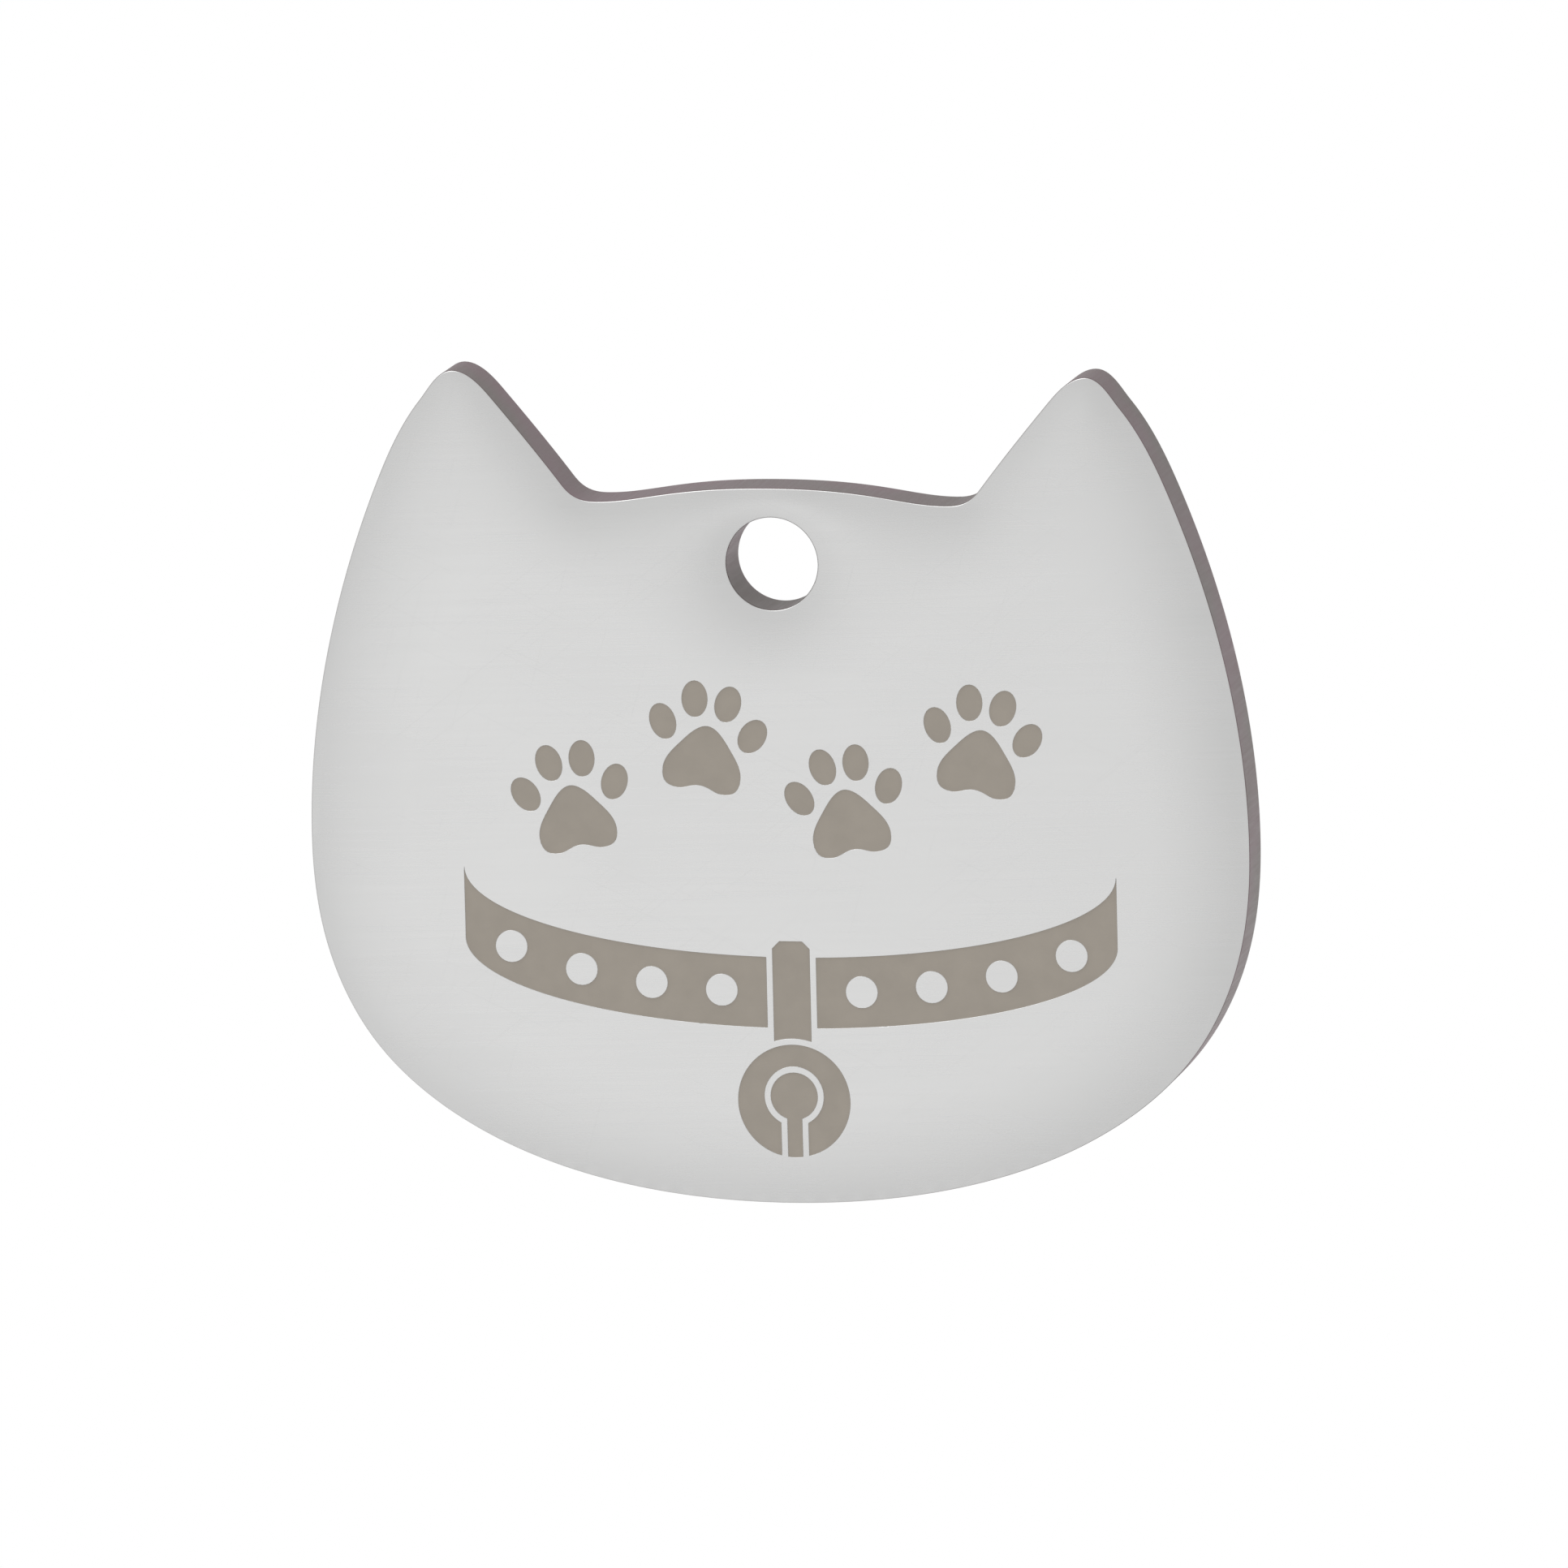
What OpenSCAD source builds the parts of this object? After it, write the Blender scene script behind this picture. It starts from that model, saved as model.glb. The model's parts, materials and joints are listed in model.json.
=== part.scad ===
// Pet id tag: a cat head cut from stainless sheet, with a ring hole between
// the ears. The middle of its face is a flat field and the rim rolls gently
// back. A collar with a bell and a trail of paw prints are engraved in the
// field and filled almost level with a taupe enamel.
// The tag hangs upright: x runs across, y from face to back, z up.
// The origin is the middle of the ring hole.

/* [Plate] */
// Width of the head across the cheeks
plate_w = 30.8; // [29:0.2:36]
// Thickness of the plate
plate_t = 2; // [1.2:0.1:3]
// Diameter of the face's flat field, around the middle of the head
field_d = 23; // [21:0.5:26]
// Drop of the face from its flat field to its edge at the cheeks
rim_drop = 0.12; // [0.05:0.01:0.2]

/* [Head outline] */
// Distance between the tips of the ears
ear_spread = 20.7; // [19.5:0.1:22.5]
// Height of the ear tips above the ring hole's centre
ear_h = 6.15; // [5:0.05:8]
// Distance between the low points where the ears meet the brow
notch_spread = 11.5; // [10.5:0.1:12.5]
// Height of those low points above the ring hole's centre
notch_h = 1.95; // [1.8:0.05:2.3]
// Height of the middle of the brow above the ring hole's centre
brow_h = 2.45; // [2.4:0.05:3]
// Depth of the widest part of the cheeks below the ring hole's centre
cheek_drop = 9.1; // [8:0.1:11]
// Depth of the chin below the ring hole's centre
chin_drop = 20.85; // [20.5:0.05:24]

/* [Ring hole] */
// Diameter of the hole for the ring
ring_hole_d = 3; // [2:0.1:3.2]

/* [Engraving] */
// Depth of the engraved pockets below the face
engrave_depth = 0.25; // [0.15:0.01:0.4]
// Depth of the enamel's surface below the face
fill_drop = 0.04; // [0.01:0.01:0.1]
// Width of the bright lines left between neighbouring pockets
line_w = 0.21; // [0.15:0.01:0.3]

/* [Collar] */
// Width of the collar from end to end
collar_w = 21.4; // [19:0.1:24]
// Depth of the collar's upper ends below the ring hole's centre
collar_drop = 10; // [9.6:0.1:11]
// Sag of the collar from its ends to its middle
collar_sag = 2.8; // [1.5:0.1:3.5]
// Height of the collar's strap
strap_h = 2.3; // [1.8:0.1:2.8]
// Offset of the collar and its bell to the side of the ring hole
collar_shift = 0.35; // [-0.5:0.05:0.5]
// Diameter of the studs on the strap
stud_d = 1.06; // [0.6:0.02:1.4]
// Distance from the strap's end to its last stud
stud_end = 1.5; // [1.2:0.1:2.5]
// Width of the keeper loop around the middle of the collar
keeper_w = 1.22; // [0.8:0.02:1.8]
// Height of the keeper loop above the strap's upper edge
keeper_rise = 0.53; // [0.3:0.01:0.9]
// Size of the bevel on the keeper loop's upper corners
keeper_bevel = 0.24; // [0.1:0.01:0.35]

/* [Bell] */
// Diameter of the bell
bell_d = 3.68; // [3:0.02:4.2]
// Distance from the strap's lower edge to the top of the bell
bell_gap = 0.55; // [0.4:0.01:0.9]
// Diameter of the round hole in the bell
slot_d = 1.54; // [1:0.02:1.8]
// Height of the round hole above the bell's centre
slot_rise = 0.16; // [0:0.01:0.25]
// Width of the slot below the round hole
stem_w = 0.48; // [0.3:0.01:0.7]

/* [Paw prints] */
// Width of one paw print
paw_w = 4; // [3:0.1:4.4]
// Distance between the sides of neighbouring paw prints
paw_gap = 0.5; // [0.3:0.05:0.9]
// Distance of each paw print above or below the middle of the trail
paw_step = 1; // [0:0.05:1.2]
// Tilt of each paw print away from upright, in degrees
paw_tilt = 9; // [0:1:15]
// Depth of the trail's middle below the ring hole's centre
paw_drop = 6.6; // [6.3:0.1:6.8]

/* [Hidden] */

steel_colour = [0.84, 0.84, 0.83];
enamel_colour = [0.61, 0.58, 0.54];

// Curve quality: steps along each span of an outline, and sides of what is round
head_steps = 12;
heel_steps = 8;
round_sides = 96;
rim_steps = 8;

// Overrun of every cutting shape past what it cuts
overrun = 0.5;

// Plate
plate_half_w = plate_w / 2;
face_z = plate_t / 2;
field_r = field_d / 2;
ear_reach = norm([ear_spread / 2, ear_h + cheek_drop]);
rim_reach = max(ear_reach, plate_half_w, chin_drop - cheek_drop) + overrun;

// Outline nodes between the named points, as [across, up] shares of the way
// from one named point to the next
inner_ear_shares = [[0.24, 0.13], [0.71, 0.77]];
outer_ear_shares = [[0.22, 0.065], [0.5, 0.23]];
jaw_shares = [[0.09, 0.5], [0.345, 0.81]];

notch_point = [notch_spread / 2, notch_h];
tip_point = [ear_spread / 2, ear_h];
cheek_point = [plate_half_w, -cheek_drop];
chin_point = [0, -chin_drop];

// Each node of an outline is [point, heading in degrees, share of the span
// that its tangent pulls before it, share that it pulls after it]
head_nodes = [
    [[0, brow_h], 0, 0, 0.58],
    [notch_point, 0, 0.26, 0.45],
    [part_way(notch_point, tip_point, inner_ear_shares[0]), 53, 0.36, 0.33],
    [part_way(notch_point, tip_point, inner_ear_shares[1]), 50, 0.33, 0.3],
    [tip_point, 0, 0.33, 0.33],
    [part_way(tip_point, cheek_point, outer_ear_shares[0]), -51, 0.33, 0.33],
    [part_way(tip_point, cheek_point, outer_ear_shares[1]), -67, 0.33, 0.31],
    [cheek_point, -90, 0.35, 0.36],
    [part_way(cheek_point, chin_point, jaw_shares[0]), -120, 0.34, 0.34],
    [part_way(cheek_point, chin_point, jaw_shares[1]), -151, 0.34, 0.33],
    [chin_point, -180, 0.33, 0]
];

// Collar: its edges are the front halves of ellipses, seen from above
collar_half_w = collar_w / 2;
strap_inner_x = keeper_w / 2 + line_w;
strap_steps = 24;
stud_count = 4;
stud_pitch = (collar_half_w - stud_end) / stud_count;
keeper_top_y = -collar_drop - collar_sag + keeper_rise;

// Bell
bell_r = bell_d / 2;
bell_y = -collar_drop - collar_sag - strap_h - bell_gap - bell_r;
slot_r = slot_d / 2;

// Paw prints: all sizes are shares of the half width of the heel pad
paw_count = 4;
paw_pitch = paw_w + paw_gap;
heel_width_share = 0.64;
heel_r = heel_width_share * paw_w / 2;
toe_steps = 24;
toe_size_shares = [0.33, 0.46];
toe_place_shares = [[0.43, 1.5], [1.16, 0.8]];
toe_turns = [-8, -26];
heel_drop_share = 0.62;
heel_nodes = [
    [heel_r * [0, 0.86], 0, 0, 0.3],
    [heel_r * [0.6, 0.4], -52, 0.33, 0.33],
    [heel_r * [1, -0.36], -90, 0.34, 0.5],
    [heel_r * [0.56, -0.8], -180, 0.5, 0.3],
    [heel_r * [0, -0.66], -180, 0.4, 0]
];

// The point that lies the given shares of the way from one point to another
function part_way(from, to, shares) =
    [from[0] + shares[0] * (to[0] - from[0]), from[1] + shares[1] * (to[1] - from[1])];

// The unit vector of a heading
function heading(angle) = [cos(angle), sin(angle)];

// The point at share t of the span between two nodes
function span_point(a, b, t) =
    let (
        length = norm(b[0] - a[0]),
        leaving = a[0] + a[3] * length * heading(a[1]),
        arriving = b[0] - b[2] * length * heading(b[1]),
        s = 1 - t
    )
    pow(s, 3) * a[0] + 3 * s * s * t * leaving + 3 * s * t * t * arriving + pow(t, 3) * b[0];

// The points along all spans of a row of nodes
function smooth_path(nodes, steps) = [
    for (i = [0 : len(nodes) - 2])
        for (k = [(i == 0 ? 0 : 1) : steps])
            span_point(nodes[i], nodes[i + 1], k / steps)
];

// A closed outline from its right half, whose first and last points are on
// the middle line
function both_halves(half) = concat(half, [for (i = [len(half) - 2 : -1 : 1]) [-half[i][0], half[i][1]]]);

// The collar's upper edge at a given angle from its middle, and at a given x
function strap_edge(angle) = [collar_half_w * sin(angle), -collar_drop - collar_sag * cos(angle)];
function strap_edge_y(x) = strap_edge(asin(x / collar_half_w))[1];

// The centre of a paw print on the trail
function paw_place(i) = [(i - (paw_count + 1) / 2) * paw_pitch, -paw_drop + paw_side(i) * paw_step];
function paw_side(i) = i % 2 == 0 ? 1 : -1;

// Stands what is drawn lying on its back upright, with its face to the front
module upright() {
    rotate([90, 0, 0]) children();
}

// The space below the face: flat over the field, then rolling back to the
// rim with a slope that grows evenly
module below_face() {
    rim = [
        for (k = [rim_steps : -1 : 0])
            let (r = field_r + (rim_reach - field_r) * k / rim_steps)
            [r, face_z - rim_drop * pow((r - field_r) / (plate_half_w - field_r), 2)]
    ];
    translate([0, -cheek_drop, 0])
        rotate_extrude($fn = round_sides)
            polygon(concat([[0, -face_z - overrun], [rim_reach, -face_z - overrun]], rim, [[0, face_z]]));
}

// The pocket that a flat drawing leaves in the face
module pocket() {
    translate([0, 0, face_z - engrave_depth])
        linear_extrude(engrave_depth + overrun) children();
}

// Enamel that fills the pocket of a flat drawing
module enamel() {
    color(enamel_colour)
        upright()
            translate([0, 0, face_z - engrave_depth])
                linear_extrude(engrave_depth - fill_drop) children();
}

// Drawing of the head
module head_shape() {
    polygon(both_halves(smooth_path(head_nodes, head_steps)));
}

// Drawing of the collar's right strap, with its studs left out
module strap_shape() {
    start = asin(strap_inner_x / collar_half_w);
    upper = [for (k = [0 : strap_steps]) strap_edge(start + (90 - start) * k / strap_steps)];
    lower = [for (k = [strap_steps : -1 : 0]) upper[k] - [0, strap_h]];
    translate([collar_shift, 0])
        difference() {
            polygon(concat(upper, lower));
            for (i = [1 : stud_count])
                translate([i * stud_pitch, strap_edge_y(i * stud_pitch) - strap_h / 2])
                    circle(stud_d / 2, $fn = round_sides);
        }
}

// Drawing of the collar's left strap
module left_strap_shape() {
    translate([2 * collar_shift, 0]) mirror([1, 0]) strap_shape();
}

// Drawing of the keeper loop, which follows the bell at its lower end
module keeper_shape() {
    side_x = keeper_w / 2;
    translate([collar_shift, 0])
        difference() {
            polygon([
                [-side_x, bell_y],
                [side_x, bell_y],
                [side_x, keeper_top_y - keeper_bevel],
                [side_x - keeper_bevel, keeper_top_y],
                [keeper_bevel - side_x, keeper_top_y],
                [-side_x, keeper_top_y - keeper_bevel]
            ]);
            translate([0, bell_y]) circle(bell_r + line_w, $fn = round_sides);
        }
}

// Drawing of a keyhole grown by a given margin, down past the bell
module keyhole_shape(margin) {
    half_w = stem_w / 2 + margin;
    translate([collar_shift, bell_y]) {
        translate([0, slot_rise]) circle(slot_r + margin, $fn = round_sides);
        translate([-half_w, -bell_r - overrun]) square([2 * half_w, bell_r + overrun]);
    }
}

// Drawing of the bell's disc
module bell_disc() {
    translate([collar_shift, bell_y]) circle(bell_r, $fn = round_sides);
}

// Drawing of the bell around its slot
module bell_shape() {
    difference() {
        bell_disc();
        keyhole_shape(line_w);
    }
}

// Drawing of the bell's slot
module bell_slot_shape() {
    intersection() {
        bell_disc();
        keyhole_shape(0);
    }
}

// Drawing of one toe pad, an ellipse
module toe_shape() {
    polygon([
        for (k = [0 : toe_steps - 1])
            let (angle = 360 * k / toe_steps)
            heel_r * [toe_size_shares[0] * cos(angle), toe_size_shares[1] * sin(angle)]
    ]);
}

// Drawing of one paw print on the trail
module paw_shape(i) {
    translate(paw_place(i))
        rotate(-paw_side(i) * paw_tilt)
            translate([0, -heel_drop_share * heel_r]) {
                polygon(both_halves(smooth_path(heel_nodes, heel_steps)));
                for (side = [0, 1])
                    mirror([side, 0])
                        for (k = [0, 1])
                            translate(heel_r * toe_place_shares[k])
                                rotate(toe_turns[k]) toe_shape();
            }
}

// Drawing of all that is engraved
module engraved_shapes() {
    left_strap_shape();
    strap_shape();
    keeper_shape();
    bell_shape();
    bell_slot_shape();
    for (i = [1 : paw_count]) paw_shape(i);
}

// The steel plate with its ring hole and its engraved pockets
module tag_plate() {
    color(steel_colour)
        upright()
            difference() {
                intersection() {
                    translate([0, 0, -face_z])
                        linear_extrude(plate_t + overrun) head_shape();
                    below_face();
                }
                translate([0, 0, -face_z - overrun])
                    cylinder(d = ring_hole_d, h = plate_t + 2 * overrun, $fn = round_sides);
                pocket() engraved_shapes();
            }
}

module left_strap_fill() {
    enamel() left_strap_shape();
}

module right_strap_fill() {
    enamel() strap_shape();
}

module keeper_fill() {
    enamel() keeper_shape();
}

module bell_fill() {
    enamel() bell_shape();
}

module bell_slot_fill() {
    enamel() bell_slot_shape();
}

module paw_fill(i) {
    enamel() paw_shape(i);
}

tag_plate();
left_strap_fill();
right_strap_fill();
keeper_fill();
bell_fill();
bell_slot_fill();
paw_fill(1);  // paw_fill_1
paw_fill(2);  // paw_fill_2
paw_fill(3);  // paw_fill_3
paw_fill(4);  // paw_fill_4
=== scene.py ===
"""Pet id tag: a cat head cut from satin stainless sheet, with taupe enamel in
its engraved collar, bell and paw prints.

The pieces are drawn lying on their back in millimetres, x across, y up and z
out of the face, and are stood upright in metres at the end. The origin is the
middle of the ring hole.
"""

import json
import math
from types import SimpleNamespace

import bmesh
import bpy
import numpy as np
from mathutils import Color, Matrix, Quaternion, Vector
from mathutils.bvhtree import BVHTree
from mathutils.geometry import interpolate_bezier


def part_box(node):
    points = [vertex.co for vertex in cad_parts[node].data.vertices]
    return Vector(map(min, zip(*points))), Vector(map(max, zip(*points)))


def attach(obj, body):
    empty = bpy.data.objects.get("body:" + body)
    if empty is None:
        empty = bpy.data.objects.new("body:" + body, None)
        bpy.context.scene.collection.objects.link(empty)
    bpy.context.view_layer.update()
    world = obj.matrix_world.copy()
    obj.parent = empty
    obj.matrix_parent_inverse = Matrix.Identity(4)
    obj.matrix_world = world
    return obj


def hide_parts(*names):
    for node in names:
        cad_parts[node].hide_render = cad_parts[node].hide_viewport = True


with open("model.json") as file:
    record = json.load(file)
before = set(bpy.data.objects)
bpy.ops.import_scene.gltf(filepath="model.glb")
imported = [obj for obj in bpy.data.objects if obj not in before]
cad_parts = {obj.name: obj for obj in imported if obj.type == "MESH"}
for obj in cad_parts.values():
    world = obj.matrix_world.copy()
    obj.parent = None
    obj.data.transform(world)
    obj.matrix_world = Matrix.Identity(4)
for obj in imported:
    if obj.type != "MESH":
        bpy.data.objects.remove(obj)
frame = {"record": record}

bl_info = {
    "name": "Pet Id Tag",
    "version": (1, 0, 0),
    "blender": (4, 5, 0),
    "location": "3D View > Sidebar > Tag",
    "description": "Builds a cat-head pet tag with enamel-filled engraving",
    "category": "Add Mesh",
}

# One millimetre in metres, and one micrometre
MM = 0.001
UM = 0.000001

# Millimetres between the points of an outline, and the fewest steps in a curved span of it
OUTLINE_PITCH = 0.12
FEWEST_STEPS = 6

# Steps around the ring hole, and along each span of an outline whose distance is measured
HOLE_STEPS = 96
TRACE_STEPS = 100

# Curved spans of an arc that goes nearly all the way round
ROUND_SPANS = 4

# Vertices closer than this are one, in millimetres
MERGE_DISTANCE = 0.0005

# Share of a pocket's width that the enamel's climb may take up on each side, and how many
# climbs long it may grow in a corner: a sharper tip has none
CLIMB_SHARE = 0.25
CORNER_REACH = 2

# The vertex attribute that grows from 0 inside to 1 at an edge of the face, which the satin material
# reads to paint shade near the edges
RIM = "rim"

# How far the face's normal rises, as a share: level above the first, a wall below the second,
# and the plate's cut edge below the third
LEVEL_SHARE = 0.98
WALL_SHARE = 0.3
CUT_SHARE = 0.5

# The face rolls back by this power of its nearness to an edge
ROLL_POWER = 3

# Material slots of the plate
SATIN, CUT_EDGE, ETCHED = range(3)

# Where a two-step rounding has its middle line, as a share of its size
ROUNDING_SHARE = 1 - math.cos(math.radians(45))

# Edges that turn by more than this stay sharp
SMOOTH_ANGLE = math.radians(50)

# The camera sees as far as this, in metres
CLIP_END = 10

# Places that are worked out at a time, so that the arrays stay small
BATCH = 400

# Studs on each strap, and paw prints in the trail
STUD_COUNT = 4
PAW_COUNT = 4

# Width of a paw print's heel pad, as a share of the print, and how far its
# middle lies below the print's, as a share of half its own width
HEEL_WIDTH_SHARE = 0.64
HEEL_DROP_SHARE = 0.62

# The two toes on the right of a paw print, each by its middle and its turn in degrees, and the
# half width and half height of a toe, in shares of half the heel pad's width
TOES = (((0.43, 1.5), -8), ((1.16, 0.8), -26))
TOE_REACH = (0.33, 0.46)

# The frame's body that every piece rides on, and its material slots
BODY = "root"
FILL_SLOT = "taupe_enamel"

plate_low, plate_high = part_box("tag_plate")


def slot_colour(slot):
    """The record's colour of a material slot, as the shaders take it."""
    for material in frame["record"]["materials"]:
        if material["slot"] == slot:
            return tuple(Color(material["base_color"]).from_srgb_to_scene_linear())
    raise RuntimeError("the record has no material slot " + slot)


def length(name, description, millimetres):
    """A length property with its default given in millimetres."""
    default = millimetres * MM
    return bpy.props.FloatProperty(
        name=name, description=description, default=default, min=0, unit="LENGTH", precision=5
    )


def angle(name, description, degrees):
    """An angle property with its default given in degrees."""
    default = math.radians(degrees)
    return bpy.props.FloatProperty(
        name=name, description=description, default=default, subtype="ANGLE", unit="ROTATION"
    )


def colour(name, description, default):
    """A colour property."""
    return bpy.props.FloatVectorProperty(
        name=name, description=description, default=default, min=0, max=1, size=3, subtype="COLOR"
    )


class PlateSizes(bpy.types.PropertyGroup):
    """Sizes of the steel plate"""

    width: length("Width", "Width of the head across the cheeks", (plate_high.x - plate_low.x) / MM)
    thickness: length("Thickness", "Thickness of the sheet", (plate_high.y - plate_low.y) / MM)
    ear_spread: length("Ear spread", "Distance between the tips of the ears", 20.7)
    ear_height: length("Ear height", "Height of the ear tips above the ring hole", plate_high.z / MM)
    notch_spread: length("Notch spread", "Distance between the low points beside the brow", 11.5)
    notch_height: length("Notch height", "Height of those low points above the ring hole", 1.95)
    brow_height: length("Brow height", "Height of the middle of the brow above the ring hole", 2.45)
    cheek_drop: length("Cheek drop", "Depth of the widest part below the ring hole", 9.1)
    chin_drop: length("Chin drop", "Depth of the chin below the ring hole", -plate_low.z / MM)
    hole: length("Ring hole", "Diameter of the ring hole", 3)
    edge_break: length("Edge break", "Size of the rounding along every cut edge", 0.05)
    roll_drop: length("Roll drop", "How far the face rolls back at its edges", 0.11)
    roll_width: length("Roll width", "Width of the zone that rolls back toward each edge", 4)
    band: length("Band", "Width of the band of even faces beside each edge", 0.3)
    lip: length("Lip", "Size of the bevel around each engraved pocket", 0.02)
    grid: length("Grid", "Spacing of the faces over the front", 0.6)
    engraving: length("Engraving", "Depth of the engraved pockets", 0.25)


class CollarSizes(bpy.types.PropertyGroup):
    """Sizes of the engraved collar"""

    width: length("Width", "Width of the collar from end to end", 21.4)
    drop: length("Drop", "Depth of the collar's upper ends below the ring hole", 10)
    sag: length("Sag", "Sag of the collar from its ends to its middle", 2.8)
    strap: length("Strap", "Height of the collar's strap", 2.3)
    shift: length("Shift", "Offset of the collar to the side of the ring hole", 0.35)
    stud: length("Stud", "Diameter of the studs on the strap", 1.06)
    stud_end: length("Stud end", "Distance from the strap's end to its last stud", 1.5)
    keeper: length("Keeper", "Width of the keeper loop", 1.22)
    keeper_rise: length("Keeper rise", "Height of the keeper loop above the strap", 0.53)
    keeper_bevel: length("Keeper bevel", "Bevel on the keeper loop's upper corners", 0.24)
    line: length("Line", "Width of the bright lines between neighbouring pockets", 0.21)


class BellSizes(bpy.types.PropertyGroup):
    """Sizes of the engraved bell"""

    bell: length("Bell", "Diameter of the bell", 3.68)
    gap: length("Gap", "Distance from the strap to the top of the bell", 0.55)
    slot: length("Slot", "Diameter of the round hole in the bell", 1.54)
    slot_rise: length("Slot rise", "Height of the round hole above the bell's centre", 0.16)
    stem: length("Stem", "Width of the slot below the round hole", 0.48)


class PawSizes(bpy.types.PropertyGroup):
    """Sizes of the engraved paw prints"""

    width: length("Width", "Width of one paw print", 4)
    gap: length("Gap", "Distance between the sides of neighbouring paw prints", 0.5)
    step: length("Step", "Distance of each paw print above or below the trail's middle", 1)
    drop: length("Drop", "Depth of the trail's middle below the ring hole", 6.6)
    tilt: angle("Tilt", "Tilt of each paw print away from upright", 9)


class EnamelSizes(bpy.types.PropertyGroup):
    """Sizes of the enamel in the pockets"""

    drop: length("Drop", "Depth of the enamel's edge below the face", 0.025)
    dip: length("Dip", "How much lower the middle of the enamel lies than its edge", 0.015)
    climb: length("Climb", "Width of the zone where the enamel climbs its wall", 0.06)


class Finishes(bpy.types.PropertyGroup):
    """Colours of the tag and the floor"""

    steel: colour("Steel", "Colour of the satin faces", (0.672, 0.672, 0.668))
    # The cut edge's colours are darker than the face partly as a cut edge's own tone and partly as
    # painted shade of the side walls
    cut_edge: colour("Cut edge", "Colour of the cut edge and the hole's wall", (0.195, 0.144, 0.155))
    cut_stain: colour("Cut stain", "Colour of the greyer patches on the cut edge", (0.17, 0.149, 0.142))
    enamel: colour("Enamel", "Colour of the enamel", slot_colour(FILL_SLOT))
    floor: colour("Floor", "Colour of the floor", (0.9, 0.9, 0.9))


def drawn(sizes):
    """The values of a property group for drawing, with its lengths in millimetres."""
    values = {}
    for name in type(sizes).__annotations__:
        is_length = sizes.bl_rna.properties[name].unit == "LENGTH"
        values[name] = getattr(sizes, name) / (MM if is_length else 1)
    return SimpleNamespace(**values)


# Outlines: each is a list of knots, and each knot is the handle before its
# point, the point, and the handle after it


def toward(heading):
    """The unit vector of a heading in degrees."""
    return Vector((math.cos(math.radians(heading)), math.sin(math.radians(heading))))


def arc_pull(turn):
    """Handle length of an arc that turns by some degrees, as a share of its radius."""
    return 4 / 3 * math.tan(math.radians(turn) / 4)


def corner(x, y):
    """A knot with straight spans on both sides."""
    point = Vector((x, y))
    return (point, point, point)


def arc(centre, radius, start, end, spans):
    """Knots along an arc between two headings, with straight spans before and after it."""
    step = (end - start) / spans
    pull = arc_pull(step) * radius
    knots = []
    for i in range(spans + 1):
        heading = start + i * step
        point = centre + radius * toward(heading)
        along = pull * toward(heading + 90)
        before = point if i == 0 else point - along
        after = point if i == spans else point + along
        knots.append((before, point, after))
    return knots


def circle(centre, radius):
    """The outline of a circle."""
    pull = arc_pull(90) * radius
    knots = []
    for heading in (0, 90, 180, 270):
        point = centre + radius * toward(heading)
        along = pull * toward(heading + 90)
        knots.append((point - along, point, point + along))
    return knots


def turned_back(knots):
    """The knots in the opposite order."""
    return [(after, point, before) for before, point, after in reversed(knots)]


def flipped(knots, middle=0):
    """The knots mirrored left to right about a middle line, in the same sense of turn."""
    return turned_back([[Vector((2 * middle - p.x, p.y)) for p in knot] for knot in knots])


def both_halves(nodes):
    """A closed outline from its right half, whose first and last nodes are on the middle line.

    Each node is its point, its heading, and the shares of the spans before
    and after it that its handles pull."""
    knots = []
    for i, (point, heading, before, after) in enumerate(nodes):
        behind = (point - nodes[i - 1][0]).length if i else 0
        ahead = (nodes[i + 1][0] - point).length if i + 1 < len(nodes) else 0
        along = toward(heading)
        knots.append([point - before * behind * along, point, point + after * ahead * along])
    first, last = knots[0], knots[-1]
    first[0] = Vector((-first[2].x, first[2].y))
    last[2] = Vector((-last[0].x, last[0].y))
    return knots + flipped(knots[1:-1])


def placed(knots, matrix):
    """The knots moved by a matrix."""
    return [tuple((matrix @ p.to_3d()).to_2d() for p in knot) for knot in knots]


def head_outline(plate):
    """The outline of the cat head."""
    brow = Vector((0, plate.brow_height))
    notch = Vector((plate.notch_spread / 2, plate.notch_height))
    tip = Vector((plate.ear_spread / 2, plate.ear_height))
    cheek = Vector((plate.width / 2, -plate.cheek_drop))
    chin = Vector((0, -plate.chin_drop))

    def part_way(start, end, across_share, up_share):
        return start + Vector((across_share, up_share)) * (end - start)

    return both_halves([
        (brow, 0, 0, 0.58),
        (notch, 0, 0.26, 0.45),
        (part_way(notch, tip, 0.24, 0.13), 53, 0.36, 0.33),
        (part_way(notch, tip, 0.71, 0.77), 50, 0.33, 0.3),
        (tip, 0, 0.33, 0.33),
        (part_way(tip, cheek, 0.22, 0.065), -51, 0.33, 0.33),
        (part_way(tip, cheek, 0.5, 0.23), -67, 0.33, 0.31),
        (cheek, -90, 0.35, 0.36),
        (part_way(cheek, chin, 0.09, 0.5), -120, 0.34, 0.34),
        (part_way(cheek, chin, 0.345, 0.81), -151, 0.34, 0.33),
        (chin, -180, 0.33, 0),
    ])


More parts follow.
